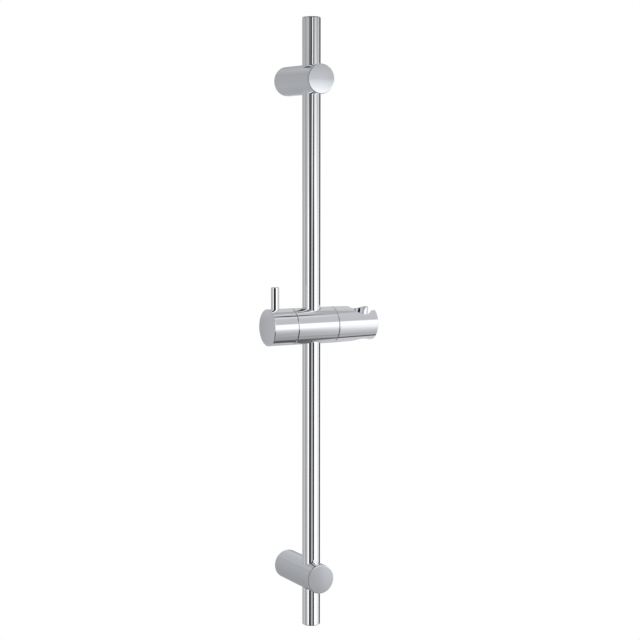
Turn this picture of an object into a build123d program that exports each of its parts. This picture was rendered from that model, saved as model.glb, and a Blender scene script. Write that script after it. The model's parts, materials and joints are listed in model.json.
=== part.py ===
from build123d import *
from math import radians, tan
import os

os.makedirs("parts", exist_ok=True)

# Shower slide rail, in millimetres.
# X runs along the slider, Y runs into the wall and Z runs up the rail.
# The origin lies on the wall, midway between the centres of the two brackets.

# Rail
rail_diameter = 18.0
rail_wall = 1.5
rail_length = 600.0
rail_top_overhang = 60.0        # from the upper bracket's centre to the rail's top end
rail_bottom_overhang = 50.0     # from the lower bracket's centre to the rail's bottom end
end_cap_head = 1.5
end_cap_edge = 0.9
end_cap_plug_length = 9.0
end_cap_plug_wall = 1.6
crush_rib_count = 6
crush_rib_radius = 0.8

# Brackets
wall_distance = 52.0            # from the wall to the rail's axis
post_diameter = 29.0
post_nose = 21.0                # from the rail's axis to the front of the bracket's cap
bracket_cap_head = 1.8
bracket_cap_edge = 1.1
bracket_cap_crown = 0.5         # how far the cap's front is domed
cap_seam = 0.4                  # shadow line between cap and post
cap_seam_depth = 0.7
cap_plug_diameter = 19.0
cap_plug_length = 3.2
cap_plug_wall = 1.6

# Wall fixing, hidden in the post
spigot_diameter = 18.0
spigot_length = 15.0
spigot_groove_depth = 1.2
spigot_groove_distance = 8.0    # from the wall to the middle of the groove
wall_screw_hole = 5.2
wall_screw_head_hole = 10.5
wall_screw_head_depth = 4.5
fixing_screw_diameter = 5.0
fixing_screw_recess = 0.8
lock_screw_diameter = 6.0
screw_tip_flat = 1.0            # diameter of the flat on a pointed screw
key_share = 0.5                 # hexagon key across flats, for each millimetre of screw

# Slider
slider_height = 5.3             # height of the slider's axis at rest
slider_diameter = 36.0
body_length = 44.2
slider_seam = 0.4               # gap between the body and the parts that turn on it
seam_bevel = 0.35
rail_hole_gap = 0.25            # between the rail and the body's hole
rail_hole_bevel = 0.5
bush_wall = 1.0
bush_length = 6.0
bush_bevel = 0.35
bush_inset = 5.0                # from the body's crest down to the bush
bush_slit = 1.0

# Knob with its lever
knob_length = 26.0
knob_wall = 3.0
knob_edge = 0.7
core_end_wall = 10.4
core_recess = 0.4
core_hub_wall = 3.0
core_rim_wall = 2.4
core_rib_count = 6
core_rib_width = 2.6
lever_diameter = 8.0
lever_reach = 39.2              # from the slider's axis to the lever's tip
lever_inset = 8.8               # from the knob's end to the lever's axis
lever_seat = 4.6                # depth of the lever's full diameter below the knob's skin
lever_stud_diameter = 5.0
lever_tip_round = 1.1
lever_hole_bevel = 0.5

# Clamp in the body's left half
pad_thickness = 2.5
pad_stub_length = 1.2
channel_diameter = 13.0
channel_across_flats = 10.0
clamp_travel = 1.0
thread_diameter = 8.0
spindle_flange_diameter = 15.0
spindle_flange_thickness = 1.6
spindle_shank_diameter = 10.0
spindle_end_gap = 1.5           # from the spindle's end to the core's end wall
spindle_flat_depth = 1.5
clip_inset = 1.025              # from the body's end to the clip
clip_thickness = 0.9
clip_groove_depth = 0.6
clip_width = 1.9
clip_opening = 40.0             # degrees
ring_thickness = 1.8
ring_diameter = 20.0

# Handset holder in the right half
holder_length = 44.2
holder_end_diameter = 34.0
holder_edge = 0.5
socket_inset = 13.3             # from the holder's end to the socket's axis
socket_tilt = 10.0              # degrees towards the front
socket_top_diameter = 22.8
socket_bottom_diameter = 20.4
slot_width = 13.6
rim_bevel = 1.4
journal_diameter = 14.0
journal_length = 7.0
pivot_bush_wall = 0.95
friction_ring_thickness = 1.3
friction_ring_width = 3.6
friction_ring_inset = 3.0
pivot_screw_diameter = 5.0
pivot_screw_head_diameter = 9.0
pivot_screw_head_height = 3.2
pivot_screw_grip = 4.8          # thread held in the body
pivot_floor = 5.5               # holder's wall under the screw's head
spring_washer_thickness = 0.6
spring_washer_rise = 0.5

# Clearances, measured on the radius or along the axis
slip_gap = 0.05                 # parts fixed in each other
running_gap = 0.06              # parts that turn or slide in each other
face_gap = 0.15                 # faces that pass each other
overrun = 2.0                   # how far a cut runs past the skin

rail_radius = rail_diameter / 2
rail_bore_radius = rail_radius - rail_wall
rail_y = -wall_distance
bracket_spacing = rail_length - rail_top_overhang - rail_bottom_overhang
rail_top = bracket_spacing / 2 + rail_top_overhang
rail_bottom = rail_top - rail_length
post_radius = post_diameter / 2
post_length = wall_distance + post_nose - bracket_cap_head - cap_seam
spigot_radius = spigot_diameter / 2
cap_plug_radius = cap_plug_diameter / 2
slider_radius = slider_diameter / 2
body_half = body_length / 2
knob_start = -body_half - slider_seam
knob_end = knob_start - knob_length
knob_bore_radius = slider_radius - knob_wall
holder_start = body_half + slider_seam
holder_end = holder_start + holder_length
holder_end_radius = holder_end_diameter / 2
rail_hole_radius = rail_radius + rail_hole_gap
bush_inner_radius = rail_radius + running_gap
bush_outer_radius = bush_inner_radius + bush_wall
bush_seat_radius = bush_outer_radius + running_gap
bush_top = slider_radius - bush_inset
lever_radius = lever_diameter / 2
lever_x = knob_end + lever_inset
lever_foot = slider_radius - lever_seat

slider_section = Plane(origin=(0, rail_y, slider_height), x_dir=(1, 0, 0), z_dir=(0, -1, 0))
slider_axis = Axis((0, rail_y, slider_height), (1, 0, 0))


def across_rail(height, up=1):
    """Plane square to the rail, centred on the rail's axis."""
    return Plane(origin=(0, rail_y, height), x_dir=(1, 0, 0), z_dir=(0, 0, up))


def across_post(distance, height, toward_wall=False):
    """Plane square to a bracket post, at a distance from the wall."""
    normal = (0, 1, 0) if toward_wall else (0, -1, 0)
    return Plane(origin=(0, -distance, height), x_dir=(1, 0, 0), z_dir=normal)


def across_slider(x, toward_holder=True):
    """Plane square to the slider's axis, with its own x running towards the wall."""
    normal = (1, 0, 0) if toward_holder else (-1, 0, 0)
    return Plane(origin=(x, rail_y, slider_height), x_dir=(0, 1, 0), z_dir=normal)


def turned_section(*corners):
    """Half section of a turned piece, from (x, radius) corners on the slider's axis."""
    with BuildSketch(slider_section) as half:
        with BuildLine():
            Polyline(*corners, close=True)
        make_face()
    return half.sketch


def double_d(plane, diameter, across_flats):
    """Round outline with a flat above and below, which keeps a sliding piece from turning."""
    with BuildSketch(plane) as outline:
        Circle(diameter / 2)
        Rectangle(diameter, across_flats, mode=Mode.INTERSECT)
    return outline.sketch


def save(piece, name):
    """Label a finished piece and write it to its own file."""
    piece.part.label = name
    export_step(piece.part, f"parts/{name}.step")


def make_end_cap(height, up):
    """Cap with a flush round head and a hollow plug whose crush ribs grip the tube's bore."""
    rib_reach = rail_bore_radius - slip_gap - crush_rib_radius
    with BuildPart() as cap:
        with BuildSketch(across_rail(height, up)):
            Circle(rail_radius)
        extrude(amount=end_cap_head)
        chamfer(cap.faces().sort_by(Axis((0, rail_y, height), (0, 0, up)))[-1].edges(), end_cap_edge)
        with BuildSketch(across_rail(height, -up)):
            Circle(rib_reach)
            with PolarLocations(rib_reach, crush_rib_count):
                Circle(crush_rib_radius)
            Circle(rib_reach - end_cap_plug_wall, mode=Mode.SUBTRACT)
        extrude(amount=end_cap_plug_length)
    return cap


def make_post(height):
    """Bracket post, crossed by the rail, with a bore at the wall for the spigot and one at the front."""
    with BuildPart() as post:
        with BuildSketch(across_post(0, height)):
            Circle(post_radius)
        extrude(amount=post_length)
        chamfer(post.faces().sort_by(Axis.Y)[0].edges(), seam_bevel)
        with BuildSketch(across_rail(height - post_radius)):
            Circle(rail_radius + slip_gap)
        extrude(amount=post_diameter, mode=Mode.SUBTRACT)
        with BuildSketch(across_post(0, height)):
            Circle(spigot_radius + slip_gap)
        extrude(amount=spigot_length + face_gap, mode=Mode.SUBTRACT)
        with BuildSketch(across_post(post_length, height, toward_wall=True)):
            Circle(cap_plug_radius + slip_gap)
        extrude(amount=cap_plug_length + face_gap, mode=Mode.SUBTRACT)
        with BuildSketch(across_post(post_length, height, toward_wall=True)):
            Circle(lock_screw_diameter / 2 + slip_gap)
        extrude(amount=post_length - wall_distance, mode=Mode.SUBTRACT)
        below = Plane(origin=(0, -spigot_groove_distance, height), x_dir=(1, 0, 0), z_dir=(0, 0, -1))
        with BuildSketch(below):
            Circle(fixing_screw_diameter / 2 + slip_gap)
        extrude(amount=post_radius + overrun, mode=Mode.SUBTRACT)
    return post


def make_bracket_cap(height):
    """Front cap: a slightly domed disc on a smaller neck, with a ring that presses into the post."""
    dome_radius = (post_radius**2 + bracket_cap_crown**2) / (2 * bracket_cap_crown)
    front = wall_distance + post_nose
    with BuildPart() as cap:
        with BuildSketch(across_post(post_length + cap_seam, height)):
            Circle(post_radius)
        extrude(amount=bracket_cap_head)
        with Locations((0, dome_radius - front, height)):
            Sphere(dome_radius, mode=Mode.INTERSECT)
        fillet(cap.faces().sort_by(Axis.Y)[0].edges(), bracket_cap_edge)
        with BuildSketch(across_post(post_length, height)):
            Circle(post_radius - cap_seam_depth)
        extrude(amount=cap_seam)
        with BuildSketch(across_post(post_length, height, toward_wall=True)):
            Circle(cap_plug_radius)
            Circle(cap_plug_radius - cap_plug_wall, mode=Mode.SUBTRACT)
        extrude(amount=cap_plug_length)
    return cap


def make_wall_spigot(height):
    """Turned stub that a wall screw holds, with a groove for the pointed screw in the post."""
    groove_edge = spigot_groove_depth + overrun
    with BuildPart() as spigot:
        with BuildSketch(across_post(0, height)):
            Circle(spigot_radius)
        extrude(amount=spigot_length)
        chamfer(spigot.faces().sort_by(Axis.Y)[0].edges(), seam_bevel)
        with Locations(across_post(spigot_length, height)):
            CounterBoreHole(wall_screw_hole / 2, wall_screw_head_hole / 2, wall_screw_head_depth)
        with BuildSketch(Plane(origin=(0, 0, height), x_dir=(0, 1, 0), z_dir=(1, 0, 0))):
            with BuildLine():
                Polyline(
                    (-spigot_groove_distance, spigot_radius - spigot_groove_depth),
                    (-spigot_groove_distance - groove_edge, spigot_radius + overrun),
                    (-spigot_groove_distance + groove_edge, spigot_radius + overrun),
                    close=True,
                )
            make_face()
        revolve(axis=Axis((0, 0, height), (0, 1, 0)), mode=Mode.SUBTRACT)
    return spigot


def make_grub_screw(outer_end, diameter, length, point):
    """Headless screw, from a plane at its outer end: a hexagon socket there and a bevelled point."""
    key = diameter * key_share
    with BuildPart() as screw:
        with BuildSketch(outer_end):
            Circle(diameter / 2)
        extrude(amount=length)
        tip = screw.faces().sort_by(Axis(outer_end.origin, outer_end.z_dir))[-1]
        chamfer(tip.edges(), point)
        with BuildSketch(outer_end):
            RegularPolygon(key / 2, 6, major_radius=False)
        extrude(amount=key, mode=Mode.SUBTRACT)
    return screw


# Rail tube with its two end caps
with BuildPart() as rail_tube:
    with BuildSketch(across_rail(rail_bottom + end_cap_head)):
        Circle(rail_radius)
        Circle(rail_bore_radius, mode=Mode.SUBTRACT)
    extrude(amount=rail_length - 2 * end_cap_head)
save(rail_tube, "rail_tube")
save(make_end_cap(rail_top - end_cap_head, 1), "rail_top_cap")
save(make_end_cap(rail_bottom + end_cap_head, -1), "rail_bottom_cap")

# Two brackets, each with its wall fixing and its screws
fixing_tip = spigot_radius - spigot_groove_depth + screw_tip_flat / 2 + 2 * slip_gap
fixing_length = post_radius - fixing_screw_recess - fixing_tip
fixing_point = (fixing_screw_diameter - screw_tip_flat) / 2
lock_outer = post_length - cap_plug_length - 2 * face_gap
lock_length = lock_outer - wall_distance - rail_radius - slip_gap
for level, height in (("upper", bracket_spacing / 2), ("lower", -bracket_spacing / 2)):
    save(make_post(height), f"{level}_bracket_post")
    save(make_bracket_cap(height), f"{level}_bracket_cap")
    save(make_wall_spigot(height), f"{level}_wall_spigot")
    underside = Plane(
        origin=(0, -spigot_groove_distance, height - post_radius + fixing_screw_recess),
        x_dir=(1, 0, 0),
        z_dir=(0, 0, 1),
    )
    fixing_screw = make_grub_screw(underside, fixing_screw_diameter, fixing_length, fixing_point)
    save(fixing_screw, f"{level}_fixing_screw")
    front = across_post(lock_outer, height, toward_wall=True)
    lock_screw = make_grub_screw(front, lock_screw_diameter, lock_length, seam_bevel)
    save(lock_screw, f"{level}_rail_lock_screw")

# Places along the slider's axis on the clamp's side: the pad lies on the rail, the spindle is
# held near the body's end, and the nut fills what is left between them
pad_back = -(rail_radius + slip_gap + pad_thickness)
clip_back = -body_half + clip_inset
clip_front = clip_back + clip_thickness
flange_back = clip_front + face_gap / 2
flange_front = flange_back + spindle_flange_thickness
nut_back = flange_front + clamp_travel + face_gap
nut_length = pad_back - nut_back
thread_end = pad_back - pad_stub_length - clamp_travel - face_gap
core_start = knob_start - core_recess
core_end = knob_end + knob_wall
spindle_end = core_end + spindle_end_gap
flange_bore_radius = spindle_flange_diameter / 2 + running_gap
clip_groove_radius = flange_bore_radius + clip_groove_depth
ring_front = -body_half - slip_gap
ring_back = ring_front - ring_thickness

# Places on the holder's side
journal_radius = journal_diameter / 2
journal_end = holder_start - journal_length
pivot_bush_outer = journal_radius + running_gap + pivot_bush_wall
pivot_seat_end = journal_end - face_gap
friction_outer = slider_radius - friction_ring_inset
friction_inner = friction_outer - friction_ring_width
friction_front = holder_start - face_gap
friction_back = friction_front - friction_ring_thickness
pivot_hole_radius = pivot_screw_diameter / 2 + slip_gap
head_seat = holder_start + pivot_floor
washer_front = head_seat + slip_gap + spring_washer_thickness + spring_washer_rise
head_front = washer_front + slip_gap
screw_tip = pivot_seat_end - pivot_screw_grip

# Slider body: a round bar with a bevelled hole for the rail, grooved inside for two guide bushes
with BuildPart() as slider_body:
    with BuildSketch(across_slider(-body_half)):
        Circle(slider_radius)
    extrude(amount=body_length)
    ends = slider_body.faces().sort_by(Axis.X)
    chamfer(ends[0].edges() + ends[-1].edges(), seam_bevel)
    with BuildSketch(across_rail(slider_height - slider_radius)):
        Circle(rail_hole_radius)
    extrude(amount=slider_diameter, mode=Mode.SUBTRACT)
    saddles = slider_body.edges(Select.LAST).filter_by(GeomType.CIRCLE, reverse=True)
    chamfer(saddles.filter_by(GeomType.LINE, reverse=True), rail_hole_bevel)
    for up in (1, -1):
        with BuildSketch(across_rail(slider_height + up * (bush_top - bush_length - face_gap), up)):
            Circle(bush_seat_radius)
        extrude(amount=bush_length + 2 * face_gap, mode=Mode.SUBTRACT)
    extrude(double_d(across_slider(flange_front), channel_diameter, channel_across_flats),
            amount=-flange_front, mode=Mode.SUBTRACT)
    revolve(
        turned_section(
            (-body_half - overrun, 0),
            (-body_half - overrun, flange_bore_radius),
            (clip_back - slip_gap, flange_bore_radius),
            (clip_back - slip_gap, clip_groove_radius),
            (clip_front + slip_gap, clip_groove_radius),
            (clip_front + slip_gap, flange_bore_radius),
            (flange_front, flange_bore_radius),
            (flange_front, 0),
        ),
        axis=slider_axis,
        mode=Mode.SUBTRACT,
    )
    revolve(
        turned_section(
            (0, 0),
            (0, pivot_hole_radius),
            (pivot_seat_end, pivot_hole_radius),
            (pivot_seat_end, pivot_bush_outer + slip_gap),
            (friction_back, pivot_bush_outer + slip_gap),
            (body_half + overrun, pivot_bush_outer + slip_gap),
            (body_half + overrun, 0),
        ),
        axis=slider_axis,
        mode=Mode.SUBTRACT,
    )
    with BuildSketch(across_slider(friction_back)):
        Circle(friction_outer + slip_gap)
        Circle(friction_inner - slip_gap, mode=Mode.SUBTRACT)
    extrude(amount=body_half - friction_back, mode=Mode.SUBTRACT)
save(slider_body, "slider_body")

# Guide bushes: plastic rings that run on the rail, slit so that they spring into the body's grooves
for level, up in (("upper", 1), ("lower", -1)):
    with BuildPart() as guide_bush:
        with BuildSketch(across_rail(slider_height + up * (bush_top - bush_length), up)):
            Circle(bush_outer_radius)
            Circle(bush_inner_radius, mode=Mode.SUBTRACT)
        extrude(amount=bush_length)
        inner_rims = guide_bush.edges().filter_by(GeomType.CIRCLE).group_by(SortBy.RADIUS)[0]
        chamfer(inner_rims, bush_bevel)
        with BuildSketch(across_rail(slider_height + up * (bush_top - bush_length), up)):
            Rectangle(2 * bush_outer_radius, bush_slit, align=(Align.MIN, Align.CENTER))
        extrude(amount=bush_length, mode=Mode.SUBTRACT)
    save(guide_bush, f"{level}_guide_bush")

# Brake pad: hollowed to the rail's curve, with a stub that sits in the nut
with BuildPart() as brake_pad:
    pad_reach = -pad_back
    extrude(double_d(across_slider(pad_back), channel_diameter - 2 * running_gap,
                     channel_across_flats - 2 * running_gap), amount=pad_reach)
    with BuildSketch(across_slider(pad_back, toward_holder=False)):
        Circle(thread_diameter / 2)
    extrude(amount=pad_stub_length)
    with BuildSketch(across_rail(slider_height - slider_radius)):
        Circle(rail_radius + slip_gap)
    extrude(amount=slider_diameter, mode=Mode.SUBTRACT)
    with BuildSketch(across_slider(-rail_radius / 2)):
        Rectangle(slider_diameter, slider_diameter)
    extrude(amount=slider_radius, mode=Mode.SUBTRACT)
save(brake_pad, "brake_pad")

# Clamp nut: slides in the flatted channel and carries the pad
with BuildPart() as clamp_nut:
    extrude(double_d(across_slider(nut_back), channel_diameter - 2 * running_gap,
                     channel_across_flats - 2 * running_gap), amount=nut_length)
    with Locations(across_slider(pad_back)):
        Hole(thread_diameter / 2 + running_gap)
save(clamp_nut, "clamp_nut")

# Clamp spindle: threaded end, bearing flange and a long shank with a flat for the lever
with BuildPart() as clamp_spindle:
    revolve(
        turned_section(
            (thread_end, 0),
            (thread_end, thread_diameter / 2 - seam_bevel),
            (thread_end - seam_bevel, thread_diameter / 2),
            (flange_front - slip_gap, thread_diameter / 2),
            (flange_front - slip_gap, spindle_flange_diameter / 2),
            (flange_back, spindle_flange_diameter / 2),
            (flange_back, spindle_shank_diameter / 2),
            (spindle_end, spindle_shank_diameter / 2),
            (spindle_end, 0),
        ),
        axis=slider_axis,
    )
    flat_height = spindle_shank_diameter / 2 - spindle_flat_depth
    flat_base = slider_section.offset(-spindle_shank_diameter / 2)
    with BuildSketch(flat_base):
        with Locations((lever_x, flat_height)):
            Rectangle(lever_diameter, spindle_shank_diameter, align=(Align.CENTER, Align.MIN))
    extrude(amount=spindle_shank_diameter, mode=Mode.SUBTRACT)
save(clamp_spindle, "clamp_spindle")

# Spindle clip: a sprung ring, open on one side, in the body's groove
with BuildPart() as spindle_clip:
    with BuildSketch(across_slider(clip_back)):
        Circle(clip_groove_radius - slip_gap)
        Circle(clip_groove_radius - slip_gap - clip_width, mode=Mode.SUBTRACT)
        with BuildLine():
            gap_half = radians(clip_opening / 2)
            reach = clip_groove_radius + overrun
            Polyline((0, 0), (reach, -reach * tan(gap_half)), (reach, reach * tan(gap_half)), close=True)
        make_face(mode=Mode.SUBTRACT)
    extrude(amount=clip_thickness)
save(spindle_clip, "spindle_clip")

# Knob shell: a turned cup, closed at its outer end, with a bevelled hole for the lever
with BuildPart() as knob_shell:
    revolve(
        turned_section(
            (knob_end, 0),
            (knob_end, slider_radius - knob_edge),
            (knob_end + knob_edge, slider_radius),
            (knob_start - seam_bevel, slider_radius),
            (knob_start, slider_radius - seam_bevel),
            (knob_start, knob_bore_radius),
            (core_end, knob_bore_radius),
            (core_end, 0),
        ),
        axis=slider_axis,
    )
    above_knob = Plane(origin=(lever_x, rail_y, slider_height), x_dir=(1, 0, 0), z_dir=(0, 0, 1))
    with BuildSketch(above_knob):
        Circle(lever_radius + slip_gap)
    extrude(amount=slider_radius + overrun, mode=Mode.SUBTRACT)
    rims = knob_shell.edges().filter_by(GeomType.CIRCLE, reverse=True)
    chamfer(rims.filter_by(GeomType.LINE, reverse=True).sort_by(Axis.Z)[-1], lever_hole_bevel)
save(knob_shell, "knob_shell")

# Knob core: a ribbed plastic hub that fills the shell and takes the spindle and the lever's stud
with BuildPart() as knob_core:
    core_radius = knob_bore_radius - slip_gap
    hub_bore_radius = spindle_shank_diameter / 2 + slip_gap
    hub_radius = hub_bore_radius + core_hub_wall
    rim_radius = core_radius - core_rim_wall
    revolve(
        turned_section(
            (core_start, hub_bore_radius),
            (core_start, core_radius),
            (core_end + slip_gap, core_radius),
            (core_end + slip_gap, 0),
            (spindle_end - slip_gap, 0),
            (spindle_end - slip_gap, hub_bore_radius),
        ),
        axis=slider_axis,
    )
    pocket_floor = core_end + core_end_wall
    with BuildSketch(across_slider(pocket_floor)):
        Circle(rim_radius)
        Circle(hub_radius, mode=Mode.SUBTRACT)
        with PolarLocations(0, core_rib_count, start_angle=90):
            Rectangle(2 * rim_radius, core_rib_width, align=(Align.MIN, Align.CENTER), mode=Mode.SUBTRACT)
    extrude(amount=core_start - pocket_floor, mode=Mode.SUBTRACT)
    with BuildSketch(across_slider(ring_back - slip_gap)):
        Circle(ring_diameter / 2 + slip_gap)
        Circle(ring_diameter / 2 - ring_thickness - slip_gap, mode=Mode.SUBTRACT)
    extrude(amount=ring_thickness, mode=Mode.SUBTRACT)
    above_knob = Plane(origin=(lever_x, rail_y, slider_height), x_dir=(1, 0, 0), z_dir=(0, 0, 1))
    with BuildSketch(above_knob.offset(lever_foot - slip_gap)):
        Circle(lever_radius + slip_gap)
    extrude(amount=slider_radius, mode=Mode.SUBTRACT)
    with BuildSketch(above_knob):
        Circle(lever_stud_diameter / 2 + slip_gap)
    extrude(amount=slider_radius, mode=Mode.SUBTRACT)
save(knob_core, "knob_core")

# Lever: a round pin with a rounded tip, on a thinner stud that bears on the spindle's flat
with BuildPart() as lever_pin:
    with BuildSketch(above_knob.offset(lever_foot)):
        Circle(lever_radius)
    extrude(amount=lever_reach - lever_foot)
    fillet(lever_pin.faces().sort_by(Axis.Z)[-1].edges(), lever_tip_round)
    with BuildSketch(above_knob.offset(flat_height + slip_gap)):
        Circle(lever_stud_diameter / 2)
    extrude(amount=lever_foot - flat_height - slip_gap)
save(lever_pin, "lever_pin")

# Knob ring: a square rubber ring in the core's groove that steadies the knob against the body
with BuildPart() as knob_ring:
    with BuildSketch(across_slider(ring_back)):
        Circle(ring_diameter / 2)
        Circle(ring_diameter / 2 - ring_thickness, mode=Mode.SUBTRACT)
    extrude(amount=ring_thickness)
save(knob_ring, "knob_ring")

# Handset holder: a tapered round bar with a tilted conical socket that opens through its end
with BuildPart() as handset_holder:
    revolve(
        turned_section(
            (journal_end, pivot_hole_radius),
            (journal_end, journal_radius - seam_bevel),
            (journal_end + seam_bevel, journal_radius),
            (holder_start, journal_radius),
            (holder_start, slider_radius - seam_bevel),
            (holder_start + seam_bevel, slider_radius),
            (holder_end - holder_edge, holder_end_radius),
            (holder_end, holder_end_radius - holder_edge),
            (holder_end, 0),
            (head_seat, 0),
            (head_seat, pivot_hole_radius),
        ),
        axis=slider_axis,
    )
    revolve(
        turned_section(
            (head_seat, 0),
            (head_seat, pivot_screw_head_diameter / 2 + face_gap),
            (holder_end - socket_inset, pivot_screw_head_diameter / 2 + face_gap),
            (holder_end - socket_inset, 0),
        ),
        axis=slider_axis,
        mode=Mode.SUBTRACT,
    )
    socket_plane = Plane(
        origin=(holder_end - socket_inset, rail_y, slider_height),
        x_dir=(1, 0, 0),
        z_dir=(0, 0, 1),
    ).rotated((socket_tilt, 0, 0))
    socket_reach = slider_diameter
    growth = (socket_top_diameter - socket_bottom_diameter) / 2 / slider_diameter
    middle_radius = (socket_top_diameter + socket_bottom_diameter) / 4
    with BuildSketch(socket_plane.rotated((90, 0, 0))):
        with BuildLine():
            Polyline(
                (0, -socket_reach),
                (middle_radius - growth * socket_reach, -socket_reach),
                (middle_radius + growth * socket_reach, socket_reach),
                (0, socket_reach),
                close=True,
            )
        make_face()
    revolve(axis=Axis(socket_plane.origin, socket_plane.z_dir), mode=Mode.SUBTRACT)
    with BuildSketch(socket_plane.offset(-socket_reach)):
        Rectangle(slider_diameter, slot_width, align=(Align.MIN, Align.CENTER))
    extrude(amount=2 * socket_reach, mode=Mode.SUBTRACT)
    skin = handset_holder.faces().filter_by(GeomType.CONE).sort_by(SortBy.AREA)[-1]
    rims = skin.edges().filter_by(GeomType.CIRCLE, reverse=True).filter_by(GeomType.LINE, reverse=True)
    chamfer(rims, rim_bevel)
save(handset_holder, "handset_holder")

# Pivot bush: lines the body's bore round the holder's journal
with BuildPart() as pivot_bush:
    with BuildSketch(across_slider(pivot_seat_end)):
        Circle(pivot_bush_outer)
        Circle(journal_radius + running_gap, mode=Mode.SUBTRACT)
    extrude(amount=body_half - pivot_seat_end)
save(pivot_bush, "pivot_bush")

# Friction ring: a flat plastic washer sunk in the body's face, which the holder turns against
with BuildPart() as friction_ring:
    with BuildSketch(across_slider(friction_back)):
        Circle(friction_outer)
        Circle(friction_inner, mode=Mode.SUBTRACT)
    extrude(amount=friction_ring_thickness)
save(friction_ring, "friction_ring")

# Spring washer: a shallow cone that keeps the holder pulled against the friction ring
with BuildPart() as spring_washer:
    washer_outer = pivot_screw_head_diameter / 2
    washer_back = head_seat + slip_gap
    revolve(
        turned_section(
            (washer_back, washer_outer),
            (washer_back + spring_washer_thickness, washer_outer),
            (washer_front, pivot_hole_radius),
            (washer_front - spring_washer_thickness, pivot_hole_radius),
        ),
        axis=slider_axis,
    )
save(spring_washer, "spring_washer")

# Pivot screw: a round head in the holder, with its thread in the body
with BuildPart() as pivot_screw:
    with BuildSketch(across_slider(screw_tip)):
        Circle(pivot_screw_diameter / 2)
    extrude(amount=head_front - screw_tip)
    with BuildSketch(across_slider(head_front)):
        Circle(pivot_screw_head_diameter / 2)
    extrude(amount=pivot_screw_head_height)
    fillet(pivot_screw.faces().sort_by(Axis.X)[-1].edges(), seam_bevel)
    key = pivot_screw_diameter * key_share
    with BuildSketch(across_slider(head_front + pivot_screw_head_height, toward_holder=False)):
        RegularPolygon(key / 2, 6, major_radius=False)
    extrude(amount=key, mode=Mode.SUBTRACT)
save(pivot_screw, "pivot_screw")
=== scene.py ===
# %% [markdown]
# This lesson dresses a shower slide rail. The solids come from the packed frame, in metres, at rest.
# X runs along the slider, Y into the wall and Z up the rail. The rail is chrome nearly all over, so
# most of the work goes into two things: surfaces without facets, and a studio worth reflecting.

# %% The frame
import bmesh
import bpy
import json
from collections import namedtuple
from math import cos, pi, radians, sin, sqrt
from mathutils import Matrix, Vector


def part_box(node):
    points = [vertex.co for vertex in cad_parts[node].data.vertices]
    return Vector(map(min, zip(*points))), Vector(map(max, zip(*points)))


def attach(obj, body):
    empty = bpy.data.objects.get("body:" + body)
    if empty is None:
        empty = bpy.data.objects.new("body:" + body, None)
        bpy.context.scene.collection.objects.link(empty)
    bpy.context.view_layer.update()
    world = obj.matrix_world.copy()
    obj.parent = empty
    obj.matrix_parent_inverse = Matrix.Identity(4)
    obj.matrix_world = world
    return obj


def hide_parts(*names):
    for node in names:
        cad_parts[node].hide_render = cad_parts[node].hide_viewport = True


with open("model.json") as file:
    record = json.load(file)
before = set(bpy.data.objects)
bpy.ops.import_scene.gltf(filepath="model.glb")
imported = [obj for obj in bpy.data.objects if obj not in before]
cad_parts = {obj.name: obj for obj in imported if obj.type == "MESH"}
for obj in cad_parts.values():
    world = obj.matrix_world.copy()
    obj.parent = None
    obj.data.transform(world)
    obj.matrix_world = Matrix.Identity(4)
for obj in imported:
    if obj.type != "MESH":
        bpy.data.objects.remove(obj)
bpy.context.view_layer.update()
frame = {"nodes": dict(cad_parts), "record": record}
mm = 0.001


# %% [markdown]
# Shader maths reads best as plain expressions. A small class wraps a socket, so that `a * (1 - b)`
# adds its own Math nodes, and one method adds any other node with its settings and inputs. Two more
# methods say what boards and noises need: a straight fade, and a band with soft edges.

# %% A socket that can be reckoned with
class Wire:
    """A node's output, with the operators that shader maths needs."""

    def __init__(self, tree, socket):
        self.tree = tree
        self.socket = socket

    def node(self, kind, inputs=(), output=0, **settings):
        made = self.tree.nodes.new(kind)
        for name, value in settings.items():
            setattr(made, name, value)
        for key, value in dict(inputs).items():
            if isinstance(value, Wire):
                self.tree.links.new(value.socket, made.inputs[key])
            else:
                made.inputs[key].default_value = value
        return Wire(self.tree, made.outputs[output] if made.outputs else None)

    def maths(self, operation, *values):
        return self.node("ShaderNodeMath", dict(enumerate(values)), operation=operation)

    def __add__(self, other):
        return self.maths("ADD", self, other)

    def __rsub__(self, other):
        return self.maths("SUBTRACT", other, self)

    def __mul__(self, other):
        return self.maths("MULTIPLY", self, other)

    __radd__ = __add__
    __rmul__ = __mul__

    def fade(self, start, end, first=0.0, last=1.0):
        """Goes in a straight line from its first value at start to its last at end."""
        return self.node("ShaderNodeMapRange", {0: self, 1: start, 2: end, 3: first, 4: last})

    def band(self, start, end, soft):
        """1 between start and end, falling to 0 over a soft edge outside each."""
        return self.fade(start - soft, start) * self.fade(end + soft, end)


print("a wire knows", len([name for name in vars(Wire) if callable(getattr(Wire, name))]), "methods")


# %% [markdown]
# A new node tree comes with nodes of its own, which are cleared away first. The wire that starts a tree
# has no socket yet, and only serves to add the first nodes.

# %% Starting a material
def start_tree(tree):
    """Empties a node tree and returns a wire with no socket, to make nodes from."""
    tree.nodes.clear()
    return Wire(tree, None)


def start_material(name):
    """A new material, and the wire to make its nodes from."""
    material = bpy.data.materials.new(name)
    material.use_nodes = True
    return material, start_tree(material.node_tree)


print("materials start from an empty tree")


# %% [markdown]
# The camera stands to the left of the rail, slightly above its middle, and looks a little down.
# Its lens and place were worked out from the outlines of the tube, the posts and the slider.

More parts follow.
